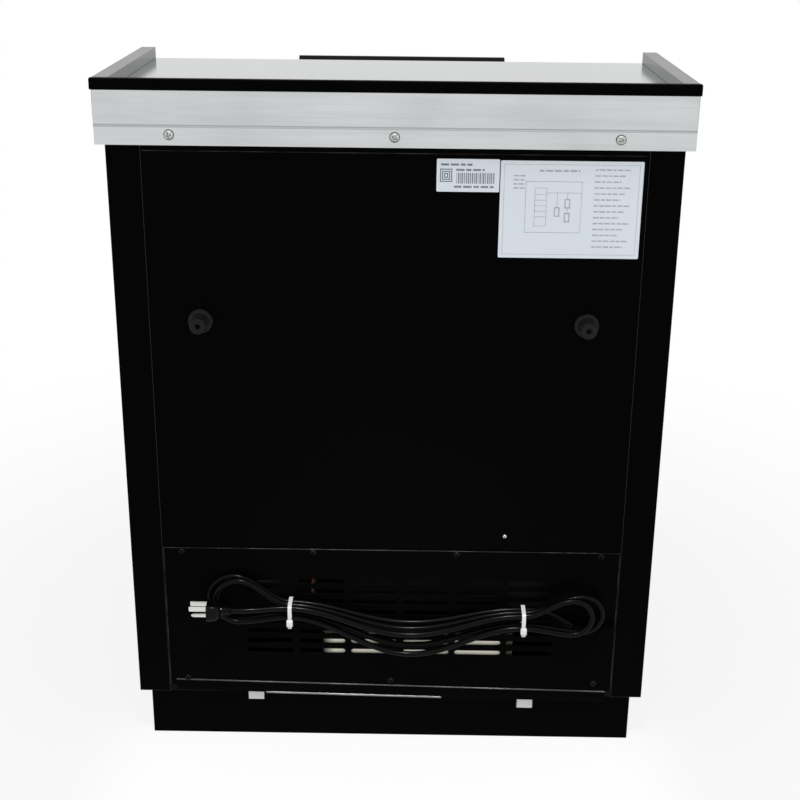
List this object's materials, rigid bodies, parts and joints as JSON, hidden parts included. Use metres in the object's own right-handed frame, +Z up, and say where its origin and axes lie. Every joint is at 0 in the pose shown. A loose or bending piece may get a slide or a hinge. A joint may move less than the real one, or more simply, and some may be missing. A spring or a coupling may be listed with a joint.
{
  "type": "under-counter bottle cooler",
  "caption": "Top-opening under-counter cooler with a raised rear shelf, a lid that slides back beneath it, a vented rear machine bay and a tied mains cord.",
  "frame": {"origin": "middle of the footprint, on the floor", "axes": "+Z up; the front faces -Y and the vented back faces +Y; +X is on the right when the front is faced"},
  "size_m": [0.63, 0.7203, 0.8],
  "materials": {
    "black_steel": "satin powder coat",
    "dark_steel": "satin",
    "stainless": "brushed",
    "galvanised": "spangled",
    "bright_screw": "bright",
    "black_screw": "black oxide",
    "black_plastic": "matte",
    "gloss_black": "gloss",
    "white_plastic": "satin",
    "cream_plastic": "satin",
    "foam": "rigid foam",
    "liner": "embossed sheet",
    "rubber": "matte",
    "cord_rubber": "satin",
    "coated_wire": "plastic coated",
    "fins": "plain",
    "copper": "plain copper",
    "machine_black": "enamel",
    "motor": "dark",
    "fan_blade": "plain"
  },
  "bodies": {
    "cabinet": {"plinth_frame": "black_steel", "spacer_pads": "white_plastic", "base_pan": "dark_steel", "side_panel_left": "black_steel", "side_panel_right": "black_steel", "front_panel": "black_steel", "back_panel": "black_steel", "machine_cover": "black_steel", "cover_screws": "black_screw", "bright_screws": "bright_screw", "wall_bumpers": "rubber", "shelf_tray": "stainless", "shelf_cheek_left": "stainless", "shelf_cheek_right": "stainless", "rear_apron": "stainless", "rear_edge_strip": "black_plastic", "shelf_bracket_left": "galvanised", "shelf_bracket_right": "galvanised", "shelf_rear_rail": "galvanised", "deck_frame": "black_plastic", "rear_deck": "foam", "lid_track_left": "black_plastic", "lid_track_right": "black_plastic", "well_liner": "liner", "foam_floor": "foam", "foam_front": "foam", "foam_left": "foam", "foam_right": "foam", "foam_rear": "foam", "foam_step": "foam", "bay_sheet": "galvanised", "floor_rack": "coated_wire", "evaporator_cover": "liner", "evaporator_coil": "fins", "evaporator_motor": "motor", "thermostat": "white_plastic", "compressor": "machine_black", "compressor_mounts": "rubber", "condenser_coil": "fins", "fan_shroud": "dark_steel", "condenser_motor": "motor", "filter_drier": "copper", "refrigerant_lines": "copper", "condensate_tray": "cream_plastic", "cord_gland": "black_plastic", "cord_lead": "cord_rubber", "cord_hank": "cord_rubber", "cord_plug": "gloss_black", "cord_ties": "white_plastic"},
    "lid": {"lid_skin": "stainless", "lid_foam": "foam", "lid_liner": "white_plastic", "lid_gasket": "rubber", "lid_glides": "white_plastic", "lid_handle": "gloss_black"},
    "condenser_fan": {"condenser_fan": "fan_blade"},
    "evaporator_fan": {"evaporator_fan": "white_plastic"},
    "thermostat_knob": {"thermostat_knob": "gloss_black"},
    "divider_left": {"divider_left": "coated_wire"},
    "divider_right": {"divider_right": "coated_wire"}
  },
  "joints": [
    {"name": "lid_slide", "type": "slide", "parent": "cabinet", "child": "lid", "axis": [0, 1, 0], "range_m": [0, 0.252]},
    {"name": "condenser_fan_spin", "type": "hinge", "parent": "cabinet", "child": "condenser_fan", "pos_m": [-0.075, 0.2, 0.1662], "axis": [0, 1, 0], "continuous": true},
    {"name": "evaporator_fan_spin", "type": "hinge", "parent": "cabinet", "child": "evaporator_fan", "pos_m": [0, 0.18, 0.554], "axis": [0, 1, 0], "continuous": true},
    {"name": "thermostat_turn", "type": "hinge", "parent": "cabinet", "child": "thermostat_knob", "pos_m": [0.1905, 0.125, 0.596], "axis": [0, -1, 0], "range_deg": [0, 270]},
    {"name": "divider_left_lift", "type": "slide", "parent": "cabinet", "child": "divider_left", "axis": [0, 0, 1], "range_m": [0, 0.2]},
    {"name": "divider_right_lift", "type": "slide", "parent": "cabinet", "child": "divider_right", "axis": [0, 0, 1], "range_m": [0, 0.2]}
  ]
}
